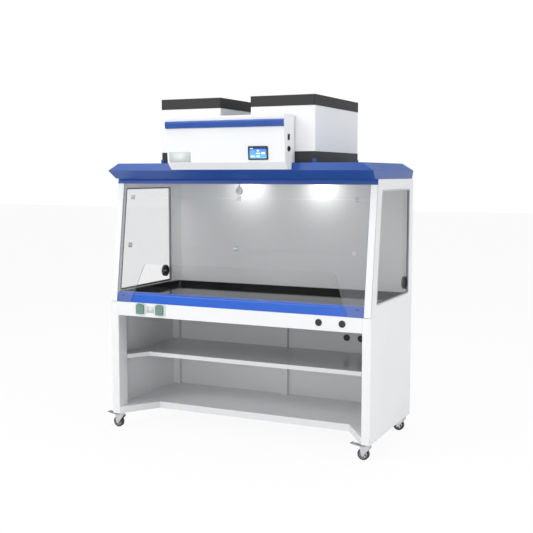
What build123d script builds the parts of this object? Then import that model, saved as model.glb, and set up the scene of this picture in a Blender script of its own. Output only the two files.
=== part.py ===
from build123d import *
import math
import os

# Ductless fume hood on a mobile base cabinet.
# Lengths are in millimetres. X runs across, Y from the front to the back, Z up.
# The origin is on the floor, under the middle of the hood.

# Overall size
width = 1500.0
depth = 690.0

# Heights, each one counted from the piece below it
caster_height = 88.0
deck_height = 36.0
base_height = 628.0
hood_height = 671.0
canopy_band = 43.0
canopy_slope = 38.0

# Sheet metal and running clearances
sheet = 2.0
bend_radius = 4.0
fit_gap = 0.3
shaft_clearance = 0.05

# Base cabinet
post_width = 45.0
post_depth = 82.0
recess_depth = 207.0
recess_mouth = 1410.0
recess_width = 1140.0
rib_count = 5
rib_height = 30.0
upright_depth = 26.0
back_inset = 10.0
shelf_rise = 260.0
shelf_thickness = 23.0
shelf_width_front = 1264.0
shelf_setback = 202.0
shelf_bracket_size = 30.0
shelf_bracket_length = 60.0
upright_hole = 4.0
corner_hole_above_shelf = 33.0
middle_hole_above_deck = 126.0
apron_height = 75.0
apron_flange = 24.0
apron_lip = 10.0

# Worktop and front sill
worktop_thickness = 24.0
rim_height = 25.0
rim_width = 33.0
back_rim_width = 25.0
rim_corner = 12.0
rim_edge = 1.0
sill_height = 51.0
sill_depth = 58.0
sill_wall = 3.0
sill_nose = 11.0
sill_back_edge = 5.0

# Hood sides, windows and chamber
side_thickness = 9.0
window_front_margin = 72.0
window_rear_margin = 65.0
window_top_margin = 55.0
window_bottom_margin = 55.0
window_corner = 12.0
gasket_web = 3.0
gasket_lip = 2.5
gasket_proud = 1.0
liner_chamfer_across = 41.0
liner_chamfer_deep = 45.0
liner_inset = 10.0
ceiling_drop = 14.0

# Cable grommets in the side windows
grommet_radius = 34.0
grommet_wall = 4.0
grommet_flange = 2.5
grommet_membrane = 2.0
grommet_slit = 1.2
grommet_slit_count = 3
grommet_from_back = 123.0
grommet_above_seam = 116.0

# Sash of three clear panels, leaning back from the front of the base
sash_lean = 7.65
sash_thickness = 5.0
sash_seam = 2.0
sash_side_gap = 1.5
bottom_panel_height = 310.0
middle_panel_height = 260.0
arm_opening_top = 1098.0
arm_opening_foot = 1254.0
arm_opening_height = 211.0
arm_opening_corner = 25.0
strip_width = 34.6
strip_return = 24.0
strip_edge_gap = 2.4
seal_thickness = 4.0
bumper_width = 20.0
bumper_height = 8.0
bumper_thickness = 1.5
bumper_inset = 73.0

# Butterfly hinges of the sash
hinge_leaf_width = 24.0
hinge_leaf_height = 13.0
hinge_leaf_thickness = 1.5
hinge_knuckle = 3.0
hinge_pin = 1.5
hinge_middle_knuckle = 11.0
hinge_inset = 102.0

# Sensor head on the fixed top panel
sensor_radius = 20.5
sensor_thickness = 10.0
sensor_eye = 9.0
sensor_eye_depth = 4.0
sensor_stem = 5.0
sensor_below_fascia = 36.0

# Canopy
fascia_height = 27.0
fascia_edge = 1.0
canopy_nose = 4.0
canopy_undercut = 62.0
canopy_front_slope = 7.0
canopy_side_bulge = 3.0
canopy_side_undercut = 7.0
canopy_side_slope = 61.0
canopy_back_inset = 8.0
canopy_back_slope = 6.0
canopy_flange = 26.0

# Filter modules on the canopy
module_width = 352.0
module_depth = 630.0
module_gap = 172.0
module_setback = 40.0
module_corner = 6.0
plinth_height = 56.0
shell_height = 225.0
cap_height = 53.0
band_proud = 1.5
ledge_width = 20.0
ledge_thickness = 3.0
tab_size = 16.0
tab_height = 20.0
carbon_height = 130.0
prefilter_width = 300.0
prefilter_depth = 400.0
prefilter_overlap = 10.0
prefilter_thickness = 11.0

# Exhaust grille
grille_rows = 17
grille_columns = 2
grille_bar = 12.0
grille_border = 28.0

# Fans
fan_plate_below_cap = 56.0
fan_inlet_radius = 92.0
fan_inlet_flare = 10.0
impeller_radius = 140.0
impeller_height = 36.0
impeller_plate = 2.0
impeller_gap = 3.0
blade_count = 7
blade_thickness = 2.0
blade_margin = 4.0
blade_sweep = 38.0
shroud_inner_radius = 88.0
blade_curve_radius = 95.0
hub_radius = 22.0
hub_height = 12.0
motor_radius = 58.0
motor_height = 26.0
motor_shaft = 6.0
motor_gap = 2.0
motor_arm_width = 26.0
motor_arm_thickness = 3.0

# Lamps under the ceiling
lamp_width = 130.0
lamp_depth = 60.0
lamp_height = 14.0
lamp_spread = 460.0
lamp_from_liner = 85.0

# Control box on the canopy front
control_width = 662.0
control_rise = 232.0
control_reach = 98.0
control_face_lean = 4.7
control_drop = 34.0
control_chin_height = 35.0
control_chin_depth = 36.0
control_wall = 2.0
control_edge = 4.0
cable_slot_width = 120.0
cable_slot_depth = 20.0
trim_below_top = 22.0
trim_height = 36.0
trim_proud = 12.0
trim_round = 9.0
display_width = 107.0
display_height = 67.0
display_depth = 5.0
display_from_side = 90.0
display_below_top = 152.0
screen_border = 7.0
screen_recess = 1.5

# Fittings on the right side of the control box
switch_width = 22.0
switch_height = 30.0
switch_frame_proud = 2.0
switch_frame_wall = 2.5
switch_depth = 16.0
switch_angle = 8.0
switch_from_front = 59.0
switch_below_top = 108.0
inlet_radius = 14.0
inlet_proud = 6.0
inlet_wall = 2.5
inlet_depth = 18.0
inlet_pin = 1.6
inlet_pin_circle = 5.0
inlet_pin_count = 3
inlet_below_top = 165.0

# Plugs and sockets
apron_hole = 16.0
apron_plug_places = (477.0, 601.0)
apron_plug_below_seam = 36.0
back_hole = 17.0
back_plug_places = (380.0, 465.0)
back_plug_below_seam = 229.0
plug_overlap = 2.0
plug_head = 3.0
plug_skirt = 6.0
plug_wall = 2.0
plug_chamfer = 1.5
socket_places = (-560.0, -438.0)
socket_below_seam = 33.0
socket_width = 70.0
socket_height = 62.0
socket_plate = 3.0
socket_body_width = 52.0
socket_body_height = 46.0
socket_body_depth = 26.0
outlet_slot_width = 3.0
outlet_slot_length = 12.0
outlet_slot_depth = 10.0
outlet_slot_across = 9.0
outlet_pair_rise = 6.0
outlet_single_drop = 10.0
cover_width = 46.0
cover_height = 54.0
cover_depth = 12.0
cover_wall = 1.5
cover_pin = 1.5
cover_barrel = 3.2
cover_barrel_length = 30.0
cover_lug_length = 5.0

# Casters
caster_inset_x = 27.0
caster_inset_y = 48.0
caster_plate_size = 50.0
caster_plate_thickness = 4.0
wheel_radius = 30.0
wheel_width = 23.0
wheel_trail = 20.0
tyre_depth = 8.0
tyre_chamfer = 4.0
wheel_boss = 8.0
wheel_rim_width = 19.0
wheel_rim_wall = 2.0
wheel_web = 6.0
web_hole_count = 5
web_hole = 3.6
axle_radius = 4.0
axle_head = 6.5
axle_head_thickness = 2.0
fork_thickness = 2.5
fork_gap = 2.0
fork_eye = 9.0
race_radius = 17.0
race_height = 8.0
race_taper = 8.0
fork_race_height = 5.0
kingpin_radius = 5.0
kingpin_nut = 8.0
kingpin_nut_height = 5.0
brake_pivot_ahead = 10.0
brake_pivot_height = 36.0
brake_pin = 2.5
brake_barrel = 5.0
brake_nose = 3.0
brake_nose_reach = 4.0
brake_range = 15.0
pedal_length = 57.0
pedal_rise = 10.0
pedal_thickness = 2.5
pedal_width = 34.0
pedal_neck = 10.0

# Places worked out from the sizes above
half_w = width / 2
front_y = -depth / 2
back_y = depth / 2
deck_top = caster_height + deck_height
seam_z = caster_height + base_height
roof_z = seam_z + hood_height
ridge_z = roof_z + canopy_band
canopy_top = ridge_z + canopy_slope
post_height = seam_z - deck_top
post_back = front_y + post_depth
skin_inside = half_w - sheet
side_inside = half_w - side_thickness
work_z = seam_z + worktop_thickness
rim_z = work_z + rim_height
sill_top = seam_z + sill_height
ceiling_z = roof_z - ceiling_drop
shelf_bottom = deck_top + shelf_rise
base_back = back_y - back_inset
upright_front = base_back - sheet - upright_depth
liner_y = back_y - liner_inset
lower_seam_z = seam_z + bottom_panel_height
upper_seam_z = lower_seam_z + middle_panel_height
lean = math.radians(sash_lean)
strip_outside = half_w - strip_edge_gap
strip_inside = strip_outside - strip_width
sash_half = strip_inside - sash_side_gap
fascia_z = roof_z - fascia_height


def right_facing(x):
    """Plane whose sketch axes are Y and Z and whose normal is +X."""
    return Plane(origin=(x, 0, 0), x_dir=(0, 1, 0), z_dir=(1, 0, 0))


def front_facing(y):
    """Plane whose sketch axes are X and Z and whose normal points to the front."""
    return Plane(origin=(0, y, 0), x_dir=(1, 0, 0), z_dir=(0, -1, 0))


def sash_y(z, behind=0.0):
    """Y of the leaning sash plane at height z, or of a plane that lies behind it."""
    return front_y + (z - seam_z) * math.tan(lean) + behind / math.cos(lean)


def sash_slab(low, high, front, back):
    """Corners, in Y and Z, of a leaning slab with level ends, between two depths behind the sash plane."""
    return [
        (sash_y(low, front), low),
        (sash_y(high, front), high),
        (sash_y(high, back), high),
        (sash_y(low, back), low),
    ]


def sash_plane(z):
    """Plane on the outer face of the sash at height z: sketch Y runs up the sash, the normal points out."""
    return Plane(
        origin=(0, sash_y(z), z),
        x_dir=(1, 0, 0),
        z_dir=(0, -math.cos(lean), math.sin(lean)),
    )


def keep(piece, name):
    """Label a finished piece and write it to its own file."""
    piece.part.label = name
    export_step(piece.part, "parts/" + name + ".step")


os.makedirs("parts", exist_ok=True)

# Base deck: a folded tray, open below, with the knee recess in its front edge
caster_x = half_w - caster_inset_x
caster_y = back_y - caster_inset_y
caster_places = [(x, y) for x in (-caster_x, caster_x) for y in (-caster_y, caster_y)]
mouth_x = recess_mouth / 2
recess_x = recess_width / 2
recess_y = front_y + recess_depth
deck_outline = [
    (-skin_inside, front_y),
    (-mouth_x, front_y),
    (-recess_x, recess_y),
    (recess_x, recess_y),
    (mouth_x, front_y),
    (skin_inside, front_y),
    (skin_inside, back_y),
    (-skin_inside, back_y),
]
rib_depth = back_y - recess_y - 2 * sheet
with BuildPart() as base_deck:
    with BuildSketch(Plane.XY.offset(caster_height)):
        Polygon(*deck_outline)
    extrude(amount=deck_height)
    with BuildSketch(Plane.XY.offset(caster_height)):
        Polygon(*deck_outline)
        offset(amount=-sheet, kind=Kind.INTERSECTION)
    extrude(amount=deck_height - sheet, mode=Mode.SUBTRACT)
    with BuildSketch(Plane.XY.offset(caster_height)):
        with Locations(*caster_places):
            Rectangle(caster_plate_size, caster_plate_size)
    extrude(amount=deck_height - sheet)
    with BuildSketch(Plane.XY.offset(deck_top - sheet)):
        with Locations((0, (recess_y + back_y) / 2)):
            with GridLocations(recess_width / rib_count, rib_depth, rib_count, 1):
                Rectangle(sheet, rib_depth)
    extrude(amount=-rib_height)
keep(base_deck, "base_deck")


def base_side(side):
    """Outer skin of one base side with its folded box post at the front."""
    with BuildPart() as panel:
        with BuildSketch(Plane.XY.offset(caster_height)):
            with Locations((side * (half_w - sheet / 2), bend_radius / 2)):
                Rectangle(sheet, depth - bend_radius)
        extrude(amount=base_height)
        with BuildSketch(Plane.XY.offset(deck_top)):
            with Locations((side * (half_w - post_width / 2), front_y + post_depth / 2)):
                RectangleRounded(post_width, post_depth, bend_radius)
                RectangleRounded(post_width - 2 * sheet, post_depth - 2 * sheet, bend_radius - sheet,
                                 mode=Mode.SUBTRACT)
        extrude(amount=post_height)
    return panel


keep(base_side(-1), "left_base_side")
keep(base_side(1), "right_base_side")

# Three folded channels in front of the back panel, open to the back
upright_places = (-(skin_inside - post_width / 2), 0, skin_inside - post_width / 2)
corner_hole_z = shelf_bottom + shelf_thickness + corner_hole_above_shelf
middle_hole_z = deck_top + middle_hole_above_deck
with BuildPart() as back_uprights:
    with BuildSketch(Plane.XY.offset(deck_top)):
        with Locations(*[(x, upright_front + upright_depth / 2) for x in upright_places]):
            Rectangle(post_width, upright_depth)
        with Locations(*[(x, upright_front + (upright_depth + sheet) / 2) for x in upright_places]):
            Rectangle(post_width - 2 * sheet, upright_depth - sheet, mode=Mode.SUBTRACT)
    extrude(amount=post_height)
    with BuildSketch(front_facing(upright_front + sheet / 2)):
        with Locations((upright_places[0], corner_hole_z), (0, middle_hole_z), (upright_places[2], corner_hole_z)):
            Circle(upright_hole)
    extrude(amount=sheet, both=True, mode=Mode.SUBTRACT)
keep(back_uprights, "back_uprights")

# Back panel of the base: a tray folded to the back, with two cable holes
with BuildPart() as base_back_panel:
    with BuildSketch(front_facing(back_y)):
        with Locations((0, deck_top + post_height / 2)):
            Rectangle(2 * skin_inside, post_height)
    extrude(amount=back_inset + sheet)
    with BuildSketch(front_facing(back_y)):
        with Locations((0, deck_top + post_height / 2)):
            Rectangle(2 * (skin_inside - sheet), post_height - 2 * sheet)
    extrude(amount=back_inset, mode=Mode.SUBTRACT)
    with BuildSketch(front_facing(back_y)):
        with Locations(*[(x, seam_z - back_plug_below_seam) for x in back_plug_places]):
            Circle(back_hole)
    extrude(amount=back_inset + sheet, mode=Mode.SUBTRACT)
keep(base_back_panel, "base_back_panel")

# Middle shelf: a folded tray whose front follows the knee recess
recess_slope = (mouth_x - recess_x) / recess_depth
shelf_corner_x = shelf_width_front / 2
shelf_front = front_y + shelf_setback
shelf_wing_x = shelf_corner_x + (shelf_front - post_back) * recess_slope
shelf_outline = [
    (-skin_inside, post_back),
    (-shelf_wing_x, post_back),
    (-shelf_corner_x, shelf_front),
    (shelf_corner_x, shelf_front),
    (shelf_wing_x, post_back),
    (skin_inside, post_back),
    (skin_inside, upright_front),
    (-skin_inside, upright_front),
]
with BuildPart() as middle_shelf:
    with BuildSketch(Plane.XY.offset(shelf_bottom)):
        Polygon(*shelf_outline)
    extrude(amount=shelf_thickness)
    with BuildSketch(Plane.XY.offset(shelf_bottom)):
        Polygon(*shelf_outline)
        offset(amount=-sheet, kind=Kind.INTERSECTION)
    extrude(amount=shelf_thickness - sheet, mode=Mode.SUBTRACT)
keep(middle_shelf, "middle_shelf")

# Angle brackets that carry the shelf on the side skins
bracket_section = [
    (0, 0),
    (shelf_bracket_size, 0),
    (shelf_bracket_size, -sheet),
    (sheet, -sheet),
    (sheet, -shelf_bracket_size),
    (0, -shelf_bracket_size),
]
bracket_places = (post_back + shelf_bracket_length, upright_front - shelf_bracket_length)
with BuildPart() as shelf_brackets:
    for place in bracket_places:
        with BuildSketch(front_facing(place + shelf_bracket_length / 2)):
            Polygon(*[(z_across - skin_inside, shelf_bottom + z_up) for z_across, z_up in bracket_section])
        extrude(amount=shelf_bracket_length)
    mirror(about=Plane.YZ)
keep(shelf_brackets, "shelf_brackets")

# Front apron: a channel folded back at its top and bottom, with holes for plugs and sockets
apron_front = front_y + sheet
apron_low = seam_z - apron_height
socket_z = seam_z - socket_below_seam
apron_section = [
    (apron_front, apron_low),
    (apron_front, seam_z),
    (apron_front + apron_flange, seam_z),
    (apron_front + apron_flange, seam_z - sheet),
    (apron_front + sheet, seam_z - sheet),
    (apron_front + sheet, apron_low + sheet),
    (apron_front + apron_flange - sheet, apron_low + sheet),
    (apron_front + apron_flange - sheet, apron_low + apron_lip),
    (apron_front + apron_flange, apron_low + apron_lip),
    (apron_front + apron_flange, apron_low),
]
with BuildPart() as front_apron:
    with BuildSketch(right_facing(-(half_w - post_width))):
        Polygon(*apron_section)
    extrude(amount=2 * (half_w - post_width))
    with BuildSketch(front_facing(apron_front + sheet)):
        with Locations(*[(x, seam_z - apron_plug_below_seam) for x in apron_plug_places]):
            Circle(apron_hole)
        with Locations(*[(x, socket_z) for x in socket_places]):
            Rectangle(socket_body_width, socket_body_height)
    extrude(amount=sheet, mode=Mode.SUBTRACT)
keep(front_apron, "front_apron")


def hole_plug(place_x, face_y, place_z, hole):
    """Hole plug: chamfered head against the front of a sheet at face_y, and a hollow skirt in the hole."""
    with BuildPart() as plug:
        with BuildSketch(front_facing(face_y)):
            with Locations((place_x, place_z)):
                Circle(hole + plug_overlap)
        extrude(amount=plug_head)
        chamfer(plug.edges().group_by(Axis.Y)[0], plug_chamfer)
        with BuildSketch(front_facing(face_y)):
            with Locations((place_x, place_z)):
                Circle(hole - fit_gap)
                Circle(hole - fit_gap - plug_wall, mode=Mode.SUBTRACT)
        extrude(amount=-plug_skirt)
    return plug.part


with BuildPart() as hole_plugs:
    for place in apron_plug_places:
        add(hole_plug(place, apron_front, seam_z - apron_plug_below_seam, apron_hole))
    for place in back_plug_places:
        add(hole_plug(place, base_back - sheet, seam_z - back_plug_below_seam, back_hole))
keep(hole_plugs, "hole_plugs")

# Sockets on the apron: plate, body behind it, lugs and pin for the cover
socket_face = apron_front - socket_plate
cover_axis_y = socket_face - cover_barrel - fit_gap
cover_axis_z = socket_z + socket_height / 2 - cover_barrel
lug_radius = cover_barrel - 2 * fit_gap
lug_reach = cover_barrel_length / 2 + fit_gap + cover_lug_length / 2
outlet_places = [
    (-outlet_slot_across, outlet_pair_rise),
    (outlet_slot_across, outlet_pair_rise),
    (0, -outlet_single_drop),
]
with BuildPart() as socket_frames:
    with BuildSketch(front_facing(apron_front)):
        with Locations(*[(x, socket_z) for x in socket_places]):
            RectangleRounded(socket_width, socket_height, bend_radius)
    extrude(amount=socket_plate)
    with BuildSketch(front_facing(apron_front)):
        with Locations(*[(x, socket_z) for x in socket_places]):
            Rectangle(socket_body_width - 2 * fit_gap, socket_body_height - 2 * fit_gap)
    extrude(amount=-(socket_body_depth - apron_lip))
    with BuildSketch(front_facing(socket_face)):
        for place in socket_places:
            with Locations(*[(place + across, socket_z + up) for across, up in outlet_places]):
                Rectangle(outlet_slot_width, outlet_slot_length)
    extrude(amount=-outlet_slot_depth, mode=Mode.SUBTRACT)
    for place in socket_places:
        for end in (-1, 1):
            with BuildSketch(right_facing(place + end * lug_reach)):
                with Locations((cover_axis_y, cover_axis_z)):
                    Circle(lug_radius)
                with Locations((cover_axis_y + (cover_barrel + fit_gap) / 2, cover_axis_z)):
                    Rectangle(cover_barrel + fit_gap, 2 * lug_radius)
            extrude(amount=cover_lug_length / 2, both=True)
        with BuildSketch(right_facing(place)):
            with Locations((cover_axis_y, cover_axis_z)):
                Circle(cover_pin)
        extrude(amount=lug_reach, both=True)
keep(socket_frames, "socket_frames")


def socket_cover(place):
    """Hinged dust cover: a shallow box open to the plate, with a barrel round the pin."""
    low = cover_axis_z - cover_height
    back = socket_face - fit_gap
    with BuildPart() as cover:
        with BuildSketch(front_facing(back)):
            with Locations((place, low + (cover_height - cover_barrel) / 2)):
                RectangleRounded(cover_width, cover_height - cover_barrel, bend_radius)
        extrude(amount=cover_depth)
        fillet(cover.edges().group_by(Axis.Y)[0], cover_wall)
        with BuildSketch(front_facing(back)):
            with Locations((place, low + (cover_height - cover_barrel) / 2)):
                Rectangle(cover_width - 2 * cover_wall, cover_height - cover_barrel - 2 * cover_wall)
        extrude(amount=cover_depth - cover_wall, mode=Mode.SUBTRACT)
        with BuildSketch(right_facing(place)):
            with Locations((cover_axis_y, cover_axis_z)):
                Circle(cover_barrel)
            with Locations((cover_axis_y - cover_barrel / 2, cover_axis_z - cover_barrel)):
                Rectangle(cover_barrel, 2 * cover_barrel)
        extrude(amount=cover_barrel_length / 2, both=True)
        with BuildSketch(right_facing(place)):
            with Locations((cover_axis_y, cover_axis_z)):
                Circle(cover_pin + shaft_clearance)
        extrude(amount=cover_width, both=True, mode=Mode.SUBTRACT)
    return cover


keep(socket_cover(socket_places[0]), "left_socket_cover")
keep(socket_cover(socket_places[1]), "right_socket_cover")

# Front sill: a hollow section behind the foot of the sash, rounded along its top
sill_behind = sash_thickness + bumper_thickness
sill_back = sash_y(sill_top, sill_behind) + sill_depth
sill_half = strip_inside - fit_gap
sill_front_low = sash_y(seam_z, sill_behind)
sill_front_high = sash_y(sill_top, sill_behind)
with BuildPart() as front_sill:
    with BuildSketch(right_facing(-sill_half)) as sill_sketch:
        with BuildLine():
            Polyline((sill_back, seam_z), (sill_front_low, seam_z), (sill_front_high, sill_top),
                     (sill_back, sill_top), close=True)
        make_face()
        fillet(sill_sketch.vertices().group_by(Axis.Y)[-1].sort_by(Axis.X)[0], sill_nose)
        fillet(sill_sketch.vertices().group_by(Axis.Y)[-1].sort_by(Axis.X)[-1], sill_back_edge)
    extrude(amount=2 * sill_half)
    with BuildSketch(right_facing(-sill_half)):
        with Locations(((sill_front_high + sill_back) / 2, (seam_z + sill_top) / 2)):
            RectangleRounded(sill_depth - sill_nose - sill_wall, sill_height - 2 * sill_wall, sill_back_edge)
    extrude(amount=2 * sill_half, mode=Mode.SUBTRACT)
keep(front_sill, "front_sill")

# Worktop: a slab with a raised rim at its back and sides
worktop_half = side_inside - fit_gap
worktop_back = back_y - sheet - fit_gap
basin_half = side_inside - rim_width
basin_back = worktop_back - back_rim_width
with BuildPart() as worktop:
    with BuildSketch(Plane.XY.offset(seam_z)):
        with Locations((0, (sill_back + worktop_back) / 2)):
            Rectangle(2 * worktop_half, worktop_back - sill_back)
    extrude(amount=worktop_thickness + rim_height)
    with BuildSketch(Plane.XY.offset(rim_z)):
        with Locations((0, sill_back)):
            RectangleRounded(2 * basin_half, 2 * (basin_back - sill_back), rim_corner)
    extrude(amount=-rim_height, mode=Mode.SUBTRACT)
    fillet(worktop.edges().group_by(Axis.Z)[-1], rim_edge)
keep(worktop, "worktop")

# Hood sides with a window opening that follows the sash
side_front_behind = sheet + seal_thickness
side_outline = [
    (sash_y(seam_z, side_front_behind), seam_z),
    (sash_y(roof_z, side_front_behind), roof_z),
    (back_y, roof_z),
    (back_y, seam_z),
]
window_low = seam_z + window_bottom_margin
window_high = roof_z - window_top_margin
window_back = back_y - window_rear_margin
window_outline = [
    (sash_y(window_low, window_front_margin), window_low),
    (sash_y(window_high, window_front_margin), window_high),
    (window_back, window_high),
    (window_back, window_low),
]


def window_shape(inset):
    """Rounded window outline, set in from the edge of the opening all round."""
    with BuildSketch() as shape:
        Polygon(*window_outline)
        fillet(shape.vertices(), window_corner)
        offset(amount=-inset)
    return shape.sketch


def hood_side(side):
    """Side panel of the hood with its rounded window opening."""
    with BuildPart() as panel:
        with BuildSketch(right_facing(side * side_inside)):
            Polygon(*side_outline)
            add(window_shape(0), mode=Mode.SUBTRACT)
        extrude(amount=side * side_thickness)
    return panel


keep(hood_side(-1), "left_hood_side")
keep(hood_side(1), "right_hood_side")

# Window panes, each with a hole for its cable grommet
grommet_y = back_y - grommet_from_back
grommet_z = seam_z + grommet_above_seam
with BuildPart() as side_windows:
    with BuildSketch(right_facing(side_inside)):
        add(window_shape(gasket_web))
        with Locations((grommet_y, grommet_z)):
            Circle(grommet_radius - grommet_wall, mode=Mode.SUBTRACT)
    extrude(amount=side_thickness)
    mirror(about=Plane.YZ)
keep(side_windows, "side_windows")

# Rubber sections round the window panes, and the seals behind the side strips
with BuildPart() as hood_seals:
    with BuildSketch(right_facing(side_inside)):
        add(window_shape(0))
        add(window_shape(gasket_web), mode=Mode.SUBTRACT)
    extrude(amount=side_thickness)
    for lip_x in (side_inside - gasket_proud, half_w):
        with BuildSketch(right_facing(lip_x)):
            add(window_shape(-gasket_lip))
            add(window_shape(gasket_web + gasket_lip), mode=Mode.SUBTRACT)
        extrude(amount=gasket_proud)
    with BuildSketch(right_facing(side_inside)):
        Polygon(*sash_slab(seam_z, roof_z - fit_gap, sheet, side_front_behind))
    extrude(amount=strip_outside - side_inside)
    mirror(about=Plane.YZ)
keep(hood_seals, "hood_seals")


def grommet(side):
    """Cable grommet: sleeve, two flanges and a membrane with three crossing slits."""
    sleeve = grommet_radius - grommet_wall - fit_gap
    place = (grommet_y, grommet_z)
    with BuildPart() as ring:
        with BuildSketch(right_facing(side * side_inside)):
            with Locations(place):
                Circle(sleeve)
        extrude(amount=side * side_thickness)
        for face_x, way in ((side_inside, -1), (half_w, 1)):
            with BuildSketch(right_facing(side * face_x)):
                with Locations(place):
                    Circle(grommet_radius)
            extrude(amount=side * way * grommet_flange)
        with BuildSketch(right_facing(side * (side_inside + side_thickness / 2))):
            with Locations(place):
                Circle(sleeve - grommet_wall)
        extrude(amount=side_thickness, both=True, mode=Mode.SUBTRACT)
        with BuildSketch(right_facing(side * (side_inside + side_thickness / 2))):
            with Locations(place):
                Circle(sleeve - grommet_wall)
                with PolarLocations(0, grommet_slit_count, angular_range=180):
                    Rectangle(2 * (sleeve - 2 * grommet_wall), grommet_slit, mode=Mode.SUBTRACT)
        extrude(amount=grommet_membrane / 2, both=True)
    return ring.part


with BuildPart() as side_grommets:
    add(grommet(-1))
    add(grommet(1))
keep(side_grommets, "side_grommets")

# Chamber liner: a flat back plate and a flat plate across each rear corner
chamfer_front = liner_y - liner_chamfer_deep
chamfer_inner = worktop_half - liner_chamfer_across
with BuildPart() as chamber_liner:
    with BuildSketch(Plane.XY.offset(rim_z)):
        with Locations((0, liner_y + sheet / 2)):
            Rectangle(2 * chamfer_inner, sheet)
    extrude(amount=ceiling_z - rim_z)
    with BuildSketch(Plane.XY.offset(rim_z)):
        Polygon((chamfer_inner + fit_gap, liner_y), (worktop_half, chamfer_front + fit_gap),
                (worktop_half, chamfer_front + sheet + fit_gap), (chamfer_inner + fit_gap, liner_y + sheet))
    extrude(amount=ceiling_z - rim_z)
    mirror(chamber_liner.solids().sort_by(Axis.X)[-1], about=Plane.YZ)
keep(chamber_liner, "chamber_liner")

# Outer back of the hood, folded forward along its top to meet the canopy
with BuildPart() as hood_back:
    with BuildSketch(right_facing(-worktop_half)):
        Polygon((back_y, seam_z), (back_y, roof_z), (liner_y + sheet + fit_gap, roof_z),
                (liner_y + sheet + fit_gap, roof_z - sheet), (back_y - sheet, roof_z - sheet),
                (back_y - sheet, seam_z))
    extrude(amount=2 * worktop_half)
keep(hood_back, "hood_back")

# Side strips beside the sash: angle sections with their outer faces in the sash plane
strip_low = seam_z + sash_seam
strip_high = roof_z - fit_gap
with BuildPart() as side_strips:
    with BuildSketch(right_facing(strip_inside)):
        Polygon(*sash_slab(strip_low, strip_high, 0, sheet))
    extrude(amount=strip_width)
    with BuildSketch(right_facing(strip_inside)):
        Polygon(*sash_slab(strip_low, ceiling_z - fit_gap, 0, strip_return))
    extrude(amount=sheet)
    mirror(about=Plane.YZ)
keep(side_strips, "side_strips")


def sash_panel(low, high):
    """One clear panel between the side strips."""
    with BuildPart() as panel:
        with BuildSketch(right_facing(-sash_half)):
            Polygon(*sash_slab(low, high, 0, sash_thickness))
        extrude(amount=2 * sash_half)
    return panel


# Fixed top panel, hinged middle panel and hinged bottom panel with the arm opening
keep(sash_panel(upper_seam_z + sash_seam / 2, strip_high), "top_sash")
keep(sash_panel(lower_seam_z + sash_seam / 2, upper_seam_z - sash_seam / 2), "middle_sash")
with BuildPart() as bottom_sash:
    add(sash_panel(strip_low, lower_seam_z - sash_seam / 2).part)
    with BuildSketch(front_facing(front_y)) as arm_opening:
        Polygon((-arm_opening_foot / 2, seam_z), (-arm_opening_top / 2, seam_z + arm_opening_height),
                (arm_opening_top / 2, seam_z + arm_opening_height), (arm_opening_foot / 2, seam_z))
        fillet(arm_opening.vertices().group_by(Axis.Y)[-1], arm_opening_corner)
    extrude(amount=depth / 2, both=True, mode=Mode.SUBTRACT)
keep(bottom_sash, "bottom_sash")

# Sash hinges: a leaf on each side of the seam, knuckles on a pin in front of the glass
hinge_places = (-(half_w - hinge_inset), 0, half_w - hinge_inset)
knuckle_lift = hinge_knuckle + fit_gap
knuckle_reach = hinge_knuckle + fit_gap
outer_knuckle = (hinge_leaf_width - hinge_middle_knuckle) / 2 - fit_gap
outer_knuckle_place = (hinge_leaf_width - outer_knuckle) / 2


def hinge_leaves(seam, way, knuckles):
    """Leaves on one side of a seam with their knuckles: way is 1 above the seam and -1 below it."""
    plane = sash_plane(seam)
    leaf_length = hinge_leaf_height - knuckle_reach
    with BuildPart() as leaves:
        for place in hinge_places:
            with BuildSketch(plane):
                with Locations((place, way * (knuckle_reach + leaf_length / 2))):
                    Rectangle(hinge_leaf_width, leaf_length)
                for across, length in knuckles:
                    with Locations((place + across, way * knuckle_reach / 2)):
                        Rectangle(length, knuckle_reach)
            extrude(amount=hinge_leaf_thickness)
            for across, length in knuckles:
                with BuildSketch(Plane(origin=plane.from_local_coords((place + across, 0, knuckle_lift)),
                                       x_dir=plane.y_dir, z_dir=plane.x_dir)):
                    Circle(hinge_knuckle)
                extrude(amount=length / 2, both=True)
        for place in hinge_places:
            with BuildSketch(Plane(origin=plane.from_local_coords((place, 0, knuckle_lift)),
                                   x_dir=plane.y_dir, z_dir=plane.x_dir)):
                Circle(hinge_pin + shaft_clearance if way < 0 else hinge_pin)
            extrude(amount=hinge_leaf_width / 2, both=True, mode=Mode.SUBTRACT if way < 0 else Mode.ADD)
    return leaves


outer_knuckles = [(-outer_knuckle_place, outer_knuckle), (outer_knuckle_place, outer_knuckle)]
middle_knuckles = [(0, hinge_middle_knuckle)]
keep(hinge_leaves(upper_seam_z, 1, outer_knuckles), "top_sash_hinges")
with BuildPart() as middle_sash_hinges:
    add(hinge_leaves(upper_seam_z, -1, middle_knuckles).part)
    add(hinge_leaves(lower_seam_z, 1, outer_knuckles).part)
keep(middle_sash_hinges, "middle_sash_hinges")
keep(hinge_leaves(lower_seam_z, -1, middle_knuckles), "bottom_sash_hinges")

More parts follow.
